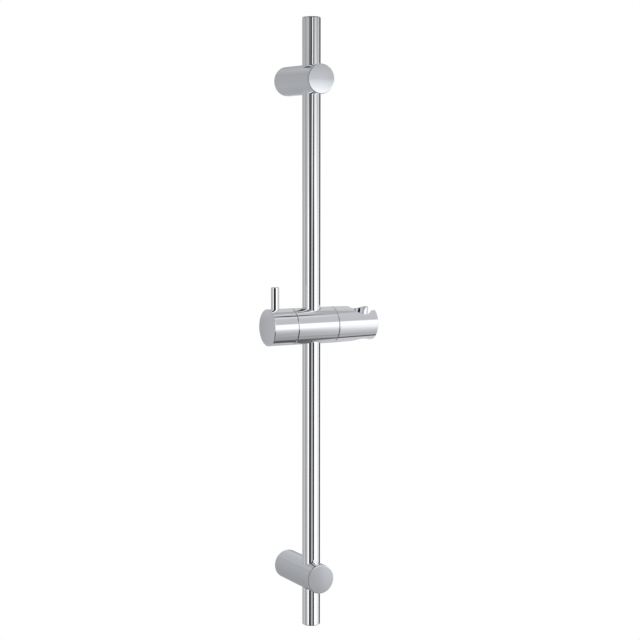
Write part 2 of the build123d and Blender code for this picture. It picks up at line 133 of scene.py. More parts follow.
# %% The camera
camera_place = (-0.74515, -1.46423, 0.17017)
camera_turn, camera_dip, camera_roll = 28.127, 5.70, 0.07       # degrees
camera_lens = 91.78                                             # millimetres
camera_data = bpy.data.cameras.new("camera")
camera_data.lens = camera_lens
camera = bpy.data.objects.new("camera", camera_data)
camera.location = camera_place
camera.rotation_euler = (radians(90 - camera_dip), 0, radians(-camera_turn))
camera.rotation_euler.rotate_axis("Z", radians(camera_roll))
bpy.context.scene.collection.objects.link(camera)
bpy.context.scene.camera = camera
print("the camera stands", round(Vector(camera_place).length, 2), "m from the wall fixing")


# %% [markdown]
# Places on the object are read from the frame, so that nothing is measured twice. The rail's axis is
# the middle of the tube's box, and the slider's axis the middle of the knob's.

# %% Axes read from the frame
tube_low, tube_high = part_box("rail_tube")
knob_low, knob_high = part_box("knob_shell")
rail_y = (tube_low.y + tube_high.y) / 2
rail_radius = (tube_high.x - tube_low.x) / 2
slider_z = (knob_low.z + knob_high.z) / 2
slider_radius = (knob_high.y - knob_low.y) / 2
along_rail = (Vector((0, rail_y, 0)), Vector((0, 0, 1)))
along_slider = (Vector((0, rail_y, slider_z)), Vector((1, 0, 0)))
print("rail", round(rail_radius / mm, 2), "mm and slider", round(slider_radius / mm, 2), "mm in radius")


# %% [markdown]
# Chrome shows its room and hardly any colour of its own. A studio for it is a tent of pale cloth, hung
# with softboxes and boards. The dark boards, between the bright ones, draw the dark lines that run
# along each tube. A real room lights every piece at once. Here the rail, the brackets, the slider and the
# lever have a tent each, one inside the other, and light linking lets each be seen only in its own
# pieces, so that each could be brought near the photograph by itself. Each has a faint tint of its own.
# The angles and greys of the boards began as greys of the photograph, traced back from a piece to its
# tent, and were then adjusted until the picture came close. So they suit this camera's view, and
# don't describe a real room.
# A board hangs between two azimuths and two heights. Azimuth 0 is straight in front of the wall and
# 90 degrees is along +X. Its sides fade out over some degrees, and its foot and head over a short blur.
# Its light is stated as the grey that chrome shows it as, at its foot and head. A grey above 255 is a
# light that still shows as white where it is seen by way of a second mirror.

# %% Boards in a tent
chrome_colour = (0.885, 0.893, 0.905)
crisp, soft = 2.5, 12.0         # degrees, over which the sides of a board fade
full = (-2.0, 3.0)              # foot and head of a board that is taller than its tent
Board = namedtuple("Board", "what sides edge foot head grey_foot grey_head blur", defaults=(0.02,))


def light_for(grey):
    """The strength of light that chrome shows as this grey, by the screen's own curve."""
    return ((grey / 255 + 0.055) / 1.055) ** 2.4 / chrome_colour[1]


def cloth(name, boards, tint, see_through):
    """Glowing cloth with boards hung in front of it, later ones over earlier ones."""
    material, wire = start_material(name)
    place = wire.node("ShaderNodeTexCoord", output="Object")
    east = place.node("ShaderNodeSeparateXYZ", {0: place}, output="X")
    north = place.node("ShaderNodeSeparateXYZ", {0: place}, output="Y")
    height = place.node("ShaderNodeSeparateXYZ", {0: place}, output="Z")
    azimuth = east.maths("ARCTAN2", east, rail_y - north) * (180 / pi)
    light = None
    for board in boards:
        shade = height.fade(board.foot, board.head, light_for(board.grey_foot), light_for(board.grey_head))
        if light is None:
            light = shade
            continue
        cover = azimuth.band(*board.sides, board.edge) * height.band(board.foot, board.head, board.blur)
        light = light.node("ShaderNodeMix", {0: cover, 2: light, 3: shade})
    glow = light.node("ShaderNodeEmission", {"Color": (*tint, 1), "Strength": light})
    if see_through:
        clear = glow.node("ShaderNodeBsdfTransparent")
        glow = glow.node("ShaderNodeAddShader", {0: glow, 1: clear})
    glow.node("ShaderNodeOutputMaterial", {"Surface": glow})
    return material


print("a board that chrome shows as white has a light of", round(light_for(255), 2))


# %% [markdown]
# Two helpers make most of what follows. One turns a bmesh into an object. The other spins a line of
# corners round an axis, and may cut or round a corner first, which then runs right round the piece.

# %% Spinning a line
merge_reach = mm / 1000


def link(name, bm, material=None):
    """Turns a bmesh into a linked object."""
    mesh = bpy.data.meshes.new(name)
    bm.to_mesh(mesh)
    bm.free()
    made = bpy.data.objects.new(name, mesh)
    bpy.context.scene.collection.objects.link(made)
    if material:
        mesh.materials.append(material)
    return made


def spun(line, axis, steps, closed=False):
    """A bmesh turned round an axis from corners: distance along, radius, and how a corner is cut."""
    centre, direction = axis
    side = direction.orthogonal().normalized()
    bm = bmesh.new()
    corners = [bm.verts.new(centre + direction * corner[0] + side * corner[1]) for corner in line]
    for start, end in zip(corners, corners[1:] + corners[:1] if closed else corners[1:]):
        bm.edges.new((start, end))
    for vertex, corner in zip(corners, line):
        if len(corner) > 2:
            bmesh.ops.bevel(bm, geom=[vertex], offset=corner[2], affect="VERTICES", profile=0.5,
                            segments=corner[3], material=-1)
    bmesh.ops.spin(bm, geom=bm.verts[:] + bm.edges[:], cent=centre, axis=direction,
                   angle=2 * pi, steps=steps, use_merge=True)
    bmesh.ops.remove_doubles(bm, verts=bm.verts[:], dist=merge_reach)
    bmesh.ops.recalc_face_normals(bm, faces=bm.faces[:])
    return bm


print("corners nearer than", merge_reach / mm, "mm are merged")


# %% [markdown]
# The floor is pale and plain, and far below, since the rail hangs at chest height. Seen by the camera
# it fades to the white of the background. The chrome doesn't see it, since it has its own tents.

# %% Floor
floor_z = -1.40
floor_radius, floor_sides = 3.40, 96
floor_fade = (0.9, 2.6)         # metres from the middle, where it goes over to white
floor_grey = 0.80


def floor_material():
    material, wire = start_material("pale floor")
    place = wire.node("ShaderNodeTexCoord", output="Object")
    reach = place.node("ShaderNodeVectorMath", {0: place}, output="Value", operation="LENGTH")
    seen = wire.node("ShaderNodeLightPath", output="Is Camera Ray")
    paint = wire.node("ShaderNodeBsdfPrincipled", {"Base Color": (floor_grey, floor_grey, floor_grey, 1),
                                                   "Roughness": 0.9})
    white = wire.node("ShaderNodeEmission", {"Strength": 1.0})
    mixed = wire.node("ShaderNodeMixShader", {0: reach.fade(*floor_fade) * seen, 1: paint, 2: white})
    mixed.node("ShaderNodeOutputMaterial", {"Surface": mixed})
    return material


def make_floor():
    bm = bmesh.new()
    bmesh.ops.create_circle(bm, cap_ends=True, segments=floor_sides, radius=floor_radius)
    floor = link("floor", bm, floor_material())
    floor.location.z = floor_z
    floor.visible_glossy = False
    return floor


floor = make_floor()
print("the floor lies", -floor_z, "m below the rail's middle")


# %% [markdown]
# The world lights the floor and the inner pieces at a plain level. Light Path's kinds of ray tell when
# the camera, a mirror or a clear thing looks at it: then it is plain white, which is the background.

# %% Background
room_light = 0.85


def make_world():
    world = bpy.data.worlds.new("white room")
    world.use_nodes = True
    wire = start_tree(world.node_tree)
    seen = wire.node("ShaderNodeLightPath", output="Is Camera Ray")
    glossy = wire.node("ShaderNodeLightPath", output="Is Glossy Ray")
    through = wire.node("ShaderNodeLightPath", output="Is Transmission Ray")
    shown = seen.maths("MAXIMUM", seen, glossy.maths("MAXIMUM", glossy, through))
    sky = wire.node("ShaderNodeBackground", {"Color": (1, 1, 1, 1),
                                             "Strength": shown * (1 - room_light) + room_light})
    sky.node("ShaderNodeOutputWorld", {"Surface": sky})
    bpy.context.scene.world = world


make_world()
bpy.context.scene.view_settings.view_transform = "Standard"
print("the room's light is", room_light, "of the background's")


# %% [markdown]
# One soft lamp hangs straight above the camera. It gives the floor the object's shadow and lights the
# plastic and the rubber inside. The chrome doesn't see it, because the boards are its light.

# %% Soft lamp
lamp_place = (-0.8, -1.4, 1.7)
lamp_power, lamp_width = 12, 1.6
lamp_data = bpy.data.lights.new("soft lamp", "AREA")
lamp_data.energy = lamp_power
lamp_data.size = lamp_width
lamp = bpy.data.objects.new("soft lamp", lamp_data)
lamp.location = lamp_place
lamp.rotation_euler = Vector(lamp_place).to_track_quat("Z", "Y").to_euler()
lamp.visible_glossy = False
bpy.context.scene.collection.objects.link(lamp)
print("the lamp is", lamp_width, "m wide")


# %% [markdown]
# Polished chrome is a mirror with a very faint blue-grey of its own. Up close it isn't perfectly even:
# wiping leaves a haze that comes and goes, with fine scratches in it, and the plating has a slight
# ripple. So its roughness varies between two noises, and a bump of a few thousandths of a millimetre
# ripples the normal. Chromed plastic ripples a little more.

# %% Chrome
polish = 0.012                  # the roughness where no haze lies
cloud_scale, swell_scale = 45.0, 160.0          # per metre
scratch_turn, scratch_scale = (0.3, 0.5, 0.9), (3000.0, 90.0, 1200.0)


def chrome(name, ripple, haze):
    """Chrome plate with a faint ripple, in millimetres, and a haze that is added to its roughness."""
    material, wire = start_material(name)
    place = wire.node("ShaderNodeTexCoord", output="Object")
    cloud = place.node("ShaderNodeTexNoise", {"Vector": place, "Scale": cloud_scale, "Detail": 3.0})
    wiped = place.node("ShaderNodeMapping", {"Vector": place, "Rotation": scratch_turn,
                                             "Scale": scratch_scale})
    scratch = wiped.node("ShaderNodeTexNoise", {"Vector": wiped, "Scale": 1.0, "Detail": 2.0})
    rough = polish + haze * cloud.fade(0.45, 0.75) + haze * scratch.fade(0.62, 0.80)
    swell = place.node("ShaderNodeTexNoise", {"Vector": place, "Scale": swell_scale, "Detail": 1.0})
    bump = swell.node("ShaderNodeBump", {"Height": swell, "Strength": 1.0, "Distance": ripple * mm})
    metal = wire.node("ShaderNodeBsdfPrincipled", {"Base Color": (*chrome_colour, 1), "Metallic": 1.0,
                                                   "Roughness": rough, "Normal": bump})
    metal.node("ShaderNodeOutputMaterial", {"Surface": metal})
    return material


polished_chrome = chrome("polished chrome", ripple=0.0015, haze=0.012)
chromed_plastic = chrome("chromed plastic", ripple=0.003, haze=0.018)
print("two chromes are mixed")


# %% [markdown]
# Inside the rail there is no chrome. The spigots, the clamp's nut and spindle are turned brass, the
# screws and clips are steel, and the bushes, the knob's core, the pad and the ring are plastic and
# rubber. Turned metal has fine rings from the tool, and moulded plastic a soft grain.

# %% Finishes of the inner pieces
ring_depth, grain_depth = 0.02 * mm, 0.03 * mm
patch_scale = 120.0             # per metre


def turned_metal(name, colour, axis_scale):
    """Bare machined metal, with tool rings square to one axis."""
    material, wire = start_material(name)
    place = wire.node("ShaderNodeTexCoord", output="Object")
    rings = place.node("ShaderNodeMapping", {"Vector": place, "Scale": axis_scale})
    grain = rings.node("ShaderNodeTexNoise", {"Vector": rings, "Scale": 1.0, "Detail": 4.0})
    patch = place.node("ShaderNodeTexNoise", {"Vector": place, "Scale": patch_scale})
    bump = grain.node("ShaderNodeBump", {"Height": grain, "Strength": 0.6, "Distance": ring_depth})
    metal = wire.node("ShaderNodeBsdfPrincipled", {"Base Color": (*colour, 1), "Metallic": 1.0,
                                                   "Roughness": 0.22 + 0.16 * grain + 0.08 * patch,
                                                   "Normal": bump})
    metal.node("ShaderNodeOutputMaterial", {"Surface": metal})
    return material


def moulded(name, colour, roughness, grain_size):
    """Plastic or rubber from a mould, with a soft grain of a size in millimetres."""
    material, wire = start_material(name)
    place = wire.node("ShaderNodeTexCoord", output="Object")
    grain = place.node("ShaderNodeTexNoise", {"Vector": place, "Scale": 1 / (grain_size * mm), "Detail": 3.0})
    bump = grain.node("ShaderNodeBump", {"Height": grain, "Strength": 0.5, "Distance": grain_depth})
    plastic = wire.node("ShaderNodeBsdfPrincipled", {"Base Color": (*colour, 1),
                                                     "Roughness": roughness + 0.15 * grain,
                                                     "Normal": bump})
    plastic.node("ShaderNodeOutputMaterial", {"Surface": plastic})
    return material


print("tool rings are", round(ring_depth / mm, 3), "mm deep, moulded grain", round(grain_depth / mm, 3), "mm")


# %% [markdown]
# The record names a material slot for each node. Every node is dressed here with its slot's finish, also
# the ones inside, which stay as they came. The outer ones are replaced further down by pieces that are
# finer, and these take the same finish.

# %% Dressing the nodes
finishes = {
    "polished_chrome": polished_chrome,
    "chromed_plastic": chromed_plastic,
    "brass": turned_metal("turned brass", (0.78, 0.60, 0.30), (200.0, 9000.0, 200.0)),
    "steel": turned_metal("bare steel", (0.56, 0.57, 0.58), (1500.0, 5000.0, 1500.0)),
    "white_acetal": moulded("white acetal", (0.84, 0.84, 0.81), 0.35, 0.6),
    "grey_nylon": moulded("grey nylon", (0.21, 0.22, 0.23), 0.45, 0.8),
    "dark_polyurethane": moulded("dark polyurethane", (0.05, 0.05, 0.055), 0.50, 0.5),
    "black_rubber": moulded("black rubber", (0.02, 0.02, 0.02), 0.55, 0.4),
}
slot_of = {row["node"]: row["material_slot"] for row in frame["record"]["subparts"]}
for name, node in frame["nodes"].items():
    node.data.materials.clear()
    node.data.materials.append(finishes[slot_of[name]])
print("dressed", len(frame["nodes"]), "nodes")


# %% [markdown]
# A mirror shows every facet. Smooth shading alone only averages the faces round a corner, and long
# thin faces then bend the picture in the chrome. But each of these walls has an exact form, so its
# normals can be worked out: straight away from an axis on a bar, square to the slope on a cone.
# A function for each kind of wall gives the normal at a corner, or none if the corner isn't on it.

# %% Kinds of wall
skin = 0.01 * mm                # how near a corner lies to the wall that it belongs to
turned_share = 0.94             # how nearly a face looks along the exact normal, as a cosine
ball_share = 0.999              # the same for a dome
flat_share = 0.9999             # and for a flat face


def turned(axis, start, end):
    """Normals of a wall turned round an axis, between two (distance along, radius) corners."""
    centre, direction = axis
    (low_end, low_radius), (high_end, high_radius) = start, end
    length = high_end - low_end

    def normal_at(point, facing):
        offset = point - centre
        along = offset.dot(direction)
        spoke = offset - direction * along
        radius = low_radius + (high_radius - low_radius) * (along - low_end) / length
        if abs(spoke.length - radius) > skin or not low_end - skin <= along <= high_end + skin:
            return None
        normal = (spoke.normalized() * length - direction * (high_radius - low_radius)).normalized()
        share = normal.dot(facing)
        return normal * (1 if share > 0 else -1) if abs(share) > turned_share else None

    return normal_at


def flat(direction):
    """Normals of a flat face that looks one way."""
    def normal_at(point, facing):
        return direction if direction.dot(facing) > flat_share else None

    return normal_at


def ball(centre, radius):
    """Normals of a part of a ball."""
    def normal_at(point, facing):
        spoke = point - centre
        near = abs(spoke.length - radius) < skin and spoke.normalized().dot(facing) > ball_share
        return spoke.normalized() if near else None

    return normal_at


print("a corner may lie", round(skin / mm, 3), "mm off its wall")


# %% [markdown]
# A face whose corners all lie on one wall takes that wall's normals. Any other face, such as a bevel,
# keeps the ones that smooth shading gives it, with sharp edges where it turns by more than an angle.

# %% Giving a piece its normals
sharp_turn = 28                 # degrees


def give_normals(piece, walls):
    """Gives each face the normals of the wall that it lies on."""
    mesh = piece.data
    mesh.shade_smooth()
    mesh.set_sharp_from_angle(angle=radians(sharp_turn))
    normals = [corner.vector.copy() for corner in mesh.corner_normals]
    exact = 0
    for face in mesh.polygons:
        for wall in walls:
            found = [wall(mesh.vertices[index].co, face.normal) for index in face.vertices]
            if all(found):
                exact += 1
                for corner, normal in zip(face.loop_indices, found):
                    normals[corner] = normal
                break
    mesh.normals_split_custom_set(normals)
    return exact


print("edges that turn by more than", sharp_turn, "degrees stay sharp")


# %% [markdown]
# Each new piece stands for one CAD node: it rides on the node's body, takes its finish and hides it.
# A piece whose CAD mesh already has the right form is a copy of it. That mesh is loose triangles, so
# the copy's are joined, and only its normals are made exact.

# %% A piece that stands for a node
body_of = {node: body for body, nodes in frame["record"]["behaviour"]["bodies"].items() for node in nodes}


def stand_in(name, bm, node, walls):
    """Links a piece, gives it exact normals and puts it in the place of a node."""
    piece = link(name, bm, finishes[slot_of[node]])
    exact = give_normals(piece, walls)
    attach(piece, body_of[node])
    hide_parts(node)
    print(name, "has", len(piece.data.polygons), "faces,", exact, "with exact normals")


def merged_copy(node):
    """A bmesh of a node's mesh with its loose triangles joined."""
    bm = bmesh.new()
    bm.from_mesh(frame["nodes"][node].data)
    bmesh.ops.remove_doubles(bm, verts=bm.verts[:], dist=merge_reach)
    return bm


# %% [markdown]
# The rail is a drawn tube, polished and plated. It is spun from the section of its wall. The ends are
# bevelled a little, which draws the fine dark line where each end cap meets the tube.

# %% Rail
rail_wall = 1.5 * mm
rail_end_bevel = 0.25 * mm
rail_steps = 192
rail_line = (
    (tube_low.z, rail_radius - rail_wall),
    (tube_low.z, rail_radius, rail_end_bevel, 1),
    (tube_high.z, rail_radius, rail_end_bevel, 1),
    (tube_high.z, rail_radius - rail_wall),
)
stand_in("rail", spun(rail_line, along_rail, rail_steps, closed=True), "rail_tube", (
    turned(along_rail, (tube_low.z, rail_radius), (tube_high.z, rail_radius)),
))


# %% [markdown]
# A cross hole through a turned piece is cut with a Boolean modifier, which is applied at once by way of
# the evaluated object. The exact solver leaves a few corners that all but touch, and these are merged.

# %% Cutting holes
rod_steps = 128


def apply_cuts(bm, cutters):
    """Takes cutters from a solid with an exact Boolean."""
    solid = link("solid", bm)
    shapes = [link("cutter", cutter) for cutter in cutters]
    for shape in shapes:
        cut = solid.modifiers.new("cut", "BOOLEAN")
        cut.object = shape
        cut.operation = "DIFFERENCE"
        cut.solver = "EXACT"
    depsgraph = bpy.context.evaluated_depsgraph_get()
    result = bmesh.new()
    result.from_object(solid, depsgraph)
    for used in (solid, *shapes):
        bpy.data.objects.remove(used)
    bmesh.ops.remove_doubles(result, verts=result.verts[:], dist=merge_reach)
    bmesh.ops.dissolve_degenerate(result, edges=result.edges[:], dist=merge_reach)
    return result


def rod(axis, start, end, radius, steps=rod_steps):
    """A plain closed rod, used as a cutter."""
    return spun(((start, 0), (start, radius), (end, radius), (end, 0)), axis, steps)


print("rods with", rod_steps, "sides cut the holes")


# %% [markdown]
# A bracket post is turned from bar: bored at the wall for its spigot, recessed at the front for its
# cap, and crossed by the rail. The turned form is spun. Its front corner is almost sharp, sharper than
# the solid's, because a wider bevel would show as a bright ring behind the cap. The rail's hole and the
# hole for the pointed screw below are then cut.

# %% Bracket posts
fit_gap = 0.05 * mm
post_steps, screw_steps = 192, 48
seam_bevel = 0.35 * mm
front_bevel = 0.15 * mm
spigot_bore = 9.05 * mm
spigot_bore_depth = 15.15 * mm
cap_bore = 9.55 * mm
cap_bore_depth = 3.35 * mm
lock_bore = 3.05 * mm
fixing_bore = 2.55 * mm
fixing_distance = 8.0 * mm      # from the wall to the pointed screw


def make_post(level):
    post_low, post_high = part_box(level + "_bracket_post")
    post_radius = (post_high.x - post_low.x) / 2
    post_z = (post_low.z + post_high.z) / 2
    front = -post_low.y
    axis = (Vector((0, 0, post_z)), Vector((0, -1, 0)))
    line = (
        (spigot_bore_depth, 0),
        (spigot_bore_depth, spigot_bore),
        (0, spigot_bore),
        (0, post_radius, seam_bevel, 1),
        (front, post_radius, front_bevel, 1),
        (front, cap_bore),
        (front - cap_bore_depth, cap_bore),
        (front - cap_bore_depth, lock_bore),
        (-rail_y, lock_bore),
        (-rail_y, 0),
    )
    screw_axis = (Vector((0, -fixing_distance, post_z)), Vector((0, 0, -1)))
    post = apply_cuts(spun(line, axis, post_steps), (
        rod(along_rail, post_z - 2 * post_radius, post_z + 2 * post_radius, rail_radius + fit_gap),
        rod(screw_axis, 0, 2 * post_radius, fixing_bore, screw_steps),
    ))
    stand_in(level + "_post", post, level + "_bracket_post", (
        turned(axis, (0, post_radius), (front, post_radius)),
        turned(along_rail, (post_z - post_radius, rail_radius + fit_gap),
               (post_z + post_radius, rail_radius + fit_gap)),
        flat(Vector((0, -1, 0))),
    ))


make_post("upper")
make_post("lower")


# %% [markdown]
# The cap on each post is a disc with a rounded rim, on a slightly smaller neck that draws a shadow
# line. Its front is domed by half a millimetre: without that a mirror would show it as one flat tone.
# The dome is a shallow arc in the line that is spun. It is a part of a large ball, so its normals point
# straight away from that ball's centre. The cap's ring presses into the post.

# %% Bracket caps
cap_rim, cap_rim_segments = 1.1 * mm, 10
cap_back_bevel, cap_back_segments = 0.15 * mm, 2
cap_head = 1.8 * mm
neck_step = 0.7 * mm
cap_ring = 9.5 * mm
cap_ring_wall = 1.6 * mm
cap_crown, cap_crown_steps = 0.5 * mm, 12


def make_cap(level):
    cap_low, cap_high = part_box(level + "_bracket_cap")
    post_low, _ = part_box(level + "_bracket_post")
    cap_radius = (cap_high.x - cap_low.x) / 2
    cap_z = (cap_low.z + cap_high.z) / 2
    front, seat, ring_end = -cap_low.y, -post_low.y, -cap_high.y
    axis = (Vector((0, 0, cap_z)), Vector((0, -1, 0)))
    dome_radius = (cap_radius ** 2 + cap_crown ** 2) / (2 * cap_crown)
    dome_centre = front - dome_radius
    reaches = [cap_radius * step / cap_crown_steps for step in range(cap_crown_steps + 1)]
    dome = [(dome_centre + sqrt(dome_radius ** 2 - reach ** 2), reach) for reach in reaches]
    line = (
        *dome[:-1],
        (*dome[-1], cap_rim, cap_rim_segments),
        (front - cap_head, cap_radius, cap_back_bevel, cap_back_segments),
        (front - cap_head, cap_radius - neck_step),
        (seat, cap_radius - neck_step),
        (seat, cap_ring),
        (ring_end, cap_ring),
        (ring_end, cap_ring - cap_ring_wall),
        (seat, cap_ring - cap_ring_wall),
        (seat, 0),
    )
    stand_in(level + "_cap", spun(line, axis, post_steps), level + "_bracket_cap", (
        turned(axis, (seat, cap_radius), (front, cap_radius)),
        ball(Vector((0, -dome_centre, cap_z)), dome_radius),
    ))


make_cap("upper")
make_cap("lower")


# %% [markdown]
# The lever is a pin with a softly rounded tip, on a thinner stud that reaches down to the spindle.

# %% Lever pin
pin_low, pin_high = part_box("lever_pin")
pin_radius = (pin_high.x - pin_low.x) / 2
pin_x = (pin_high.x + pin_low.x) / 2
pin_seat = 13.4 * mm            # from the slider's axis to the foot of the pin's full width
pin_foot = slider_z + pin_seat
pin_tip_round, pin_tip_segments = 1.1 * mm, 8
pin_steps = 96
stud_radius = 2.5 * mm
along_pin = (Vector((pin_x, rail_y, 0)), Vector((0, 0, 1)))
pin_line = (
    (pin_low.z, 0),
    (pin_low.z, stud_radius),
    (pin_foot, stud_radius),
    (pin_foot, pin_radius),
    (pin_high.z, pin_radius, pin_tip_round, pin_tip_segments),
    (pin_high.z, 0),
)
stand_in("lever", spun(pin_line, along_pin, pin_steps), "lever_pin", (
    turned(along_pin, (pin_foot, pin_radius), (pin_high.z, pin_radius)),
    flat(Vector((0, 0, 1))),
))


# %% [markdown]
# The knob is a cup, closed at its outer end, with a bevelled hole for the lever. That bevel runs round a
# saddle-shaped rim, which is hard to follow on what a Boolean leaves. The knob's CAD mesh already holds
# it, so a merged copy of that mesh stands in.

# %% Knob cup
knob_hole = pin_radius + fit_gap
stand_in("knob", merged_copy("knob_shell"), "knob_shell", (
    turned(along_slider, (knob_low.x, slider_radius), (knob_high.x, slider_radius)),
    turned(along_pin, (slider_z, knob_hole), (slider_z + slider_radius, knob_hole)),
    flat(Vector((-1, 0, 0))),
))


# %% [markdown]
# The slider's body is a plain round bar with a cross hole for the rail, and the hole's saddle-shaped
# rims are bevelled. It is a merged copy as well, with the grooves and bores inside. Its exact normals
# point straight away from the bar's axis outside, and from the rail's axis in the hole.

# %% Slider body
body_low, body_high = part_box("slider_body")
rail_hole_gap = 0.25 * mm
rail_hole = rail_radius + rail_hole_gap
stand_in("slider_bar", merged_copy("slider_body"), "slider_body", (
    turned(along_slider, (body_low.x, slider_radius), (body_high.x, slider_radius)),
    turned(along_rail, (body_low.z, rail_hole), (body_high.z, rail_hole)),
))


# %% [markdown]
# The rail's two end caps are merged copies as well. Their chamfer is the thin dark rim at each end.

# %% Rail's end caps
for name in ("rail_top_cap", "rail_bottom_cap"):
    end_low, end_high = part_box(name)
    stand_in(name.replace("rail", "end"), merged_copy(name), name, (
        turned(along_rail, (end_low.z, rail_radius), (end_high.z, rail_radius)),
        flat(Vector((0, 0, 1))),
        flat(Vector((0, 0, -1))),
    ))


# %% [markdown]
# The handset holder tapers towards its end, where a tilted conical socket opens through a slot. It is
# a merged copy too, with exact normals on its skin and in its socket.

# %% Handset holder
_, holder_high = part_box("handset_holder")
slider_seam = 0.4 * mm          # between the body and the holder
holder_start = body_high.x + slider_seam
holder_end_radius = 17.0 * mm
holder_edge = 0.5 * mm
socket_inset = 13.3 * mm        # from the holder's end to the socket's axis
socket_x = holder_high.x - socket_inset
socket_tilt = radians(10)
socket_top, socket_bottom = 11.4 * mm, 10.2 * mm
down_socket = (Vector((socket_x, rail_y, slider_z)), Vector((0, -sin(socket_tilt), cos(socket_tilt))))
stand_in("holder", merged_copy("handset_holder"), "handset_holder", (
    turned(along_slider, (holder_start + seam_bevel, slider_radius),
           (holder_high.x - holder_edge, holder_end_radius)),
    turned(down_socket, (-slider_radius, socket_bottom), (slider_radius, socket_top)),
))


# %% [markdown]
# The rail is lit by softboxes at its left and right and by a pale board in front, with a dark gap at
# each side of that board. Another dark gap hangs at the far right. Towards the top all of it fades.
# The dark ceiling and floor draw the rims at the rail's ends. The rail is mirrored in the slider too, and
# that second picture looks steeply up and down, so the low and high shades are seen only there.

# %% Boards for the rail
rail_boards = (
    Board("back cloth", (-180, 180), crisp, 0.05, 0.36, 197, 172),
    Board("left back board", (-160, -134), crisp, *full, 172, 165),
    Board("left edge board", (-112, -98), crisp, *full, 157, 157),
    Board("left side board", (-98, -79), crisp, *full, 172, 166),
    Board("left softbox, outer edge", (-79, -69), crisp, *full, 210, 210),
    Board("left softbox, outer top", (-79, -69), crisp, 0.05, 0.50, 212, 160),
    Board("left softbox", (-69, -50), 4, *full, 262, 262),
    Board("left softbox, top", (-69, -50), 4, 0.07, 0.30, 262, 178, 0.06),
    Board("left softbox, tip", (-69, -50), 4, 0.30, 0.60, 178, 178, 0.01),
    Board("left gap", (-54, -29), crisp, *full, 50, 50),
    Board("left gap, top", (-54, -29), crisp, 0.12, 0.50, 50, 125, 0.06),
    Board("middle board", (-28, -6), crisp, *full, 178, 178),
    Board("middle board, left top", (-28, -18), crisp, 0.17, 0.33, 172, 60, 0.04),
    Board("middle board, left tip", (-28, -18), crisp, 0.33, 0.60, 60, 60, 0.01),
    Board("middle board, right top", (-16, -6), crisp, 0.04, 0.24, 180, 262, 0.04),
    Board("middle board, right tip", (-16, -6), crisp, 0.24, 0.60, 262, 262, 0.01),
    Board("middle gap", (-5.5, 9.5), crisp, *full, 12, 12),
    Board("middle gap, top", (-5.5, 9.5), crisp, 0.20, 0.50, 20, 130, 0.06),
    Board("main softbox", (12, 48), crisp, *full, 262, 262),
    Board("main softbox, top", (10.5, 48), crisp, 0.12, 0.60, 262, 118, 0.06),
    Board("main softbox, right top", (36, 48), 6, 0.10, 0.60, 245, 90, 0.06),
    Board("right softbox", (54, 88), 5, *full, 236, 232),
    Board("right softbox, left top", (50, 68), 5, 0.02, 0.50, 227, 137, 0.06),
    Board("right softbox, top", (70, 88), 5, 0.05, 0.50, 226, 190, 0.06),
    Board("right gap", (88, 121), crisp, *full, 26, 32),
    Board("low left shade", (-180, -20), 8, -1.15, -0.64, 108, 108, 0.06),
    Board("low shade", (-180, 180), 8, -1.54, -1.15, 108, 108, 0.04),
    Board("high left shade", (-180, -80), 8, 0.66, 1.24, 80, 80, 0.06),
    Board("dark floor", (-180, 180), crisp, -2.00, -1.56, 84, 84),
    Board("dark ceiling", (-180, 180), crisp, 1.96, 2.50, 50, 50),
)
print(len(rail_boards), "boards hang round the rail")


# %% [markdown]
# The lever is thin, so its boards are plain and few: a white one on each side of a dark gap, and a
# grey one beyond each of these.

# %% Boards for the lever
lever_boards = (
    Board("back cloth", (-180, 180), soft, *full, 160, 190),
    Board("left side board", (-122, -92), soft, *full, 166, 176),
    Board("left softbox", (-88, -60), 6, *full, 262, 230),
    Board("dark gap", (-64, -4), crisp, *full, 8, 12),
    Board("main softbox", (-3, 30), crisp, *full, 285, 285),
    Board("right board", (38, 110), 8, *full, 219, 219),
)
print(len(lever_boards), "boards hang round the lever")


# %% [markdown]
# The slider lies across the rail, so it sees its tent from floor to ceiling, and this tent is the
# smallest. Its light is one softbox in front, with cloth below it that darkens slowly downwards, and a
# little more so at the left. A dark slot high up and another in the floor draw the two thin dark lines
# that run along the slider. The face boards light the knob's flat end.

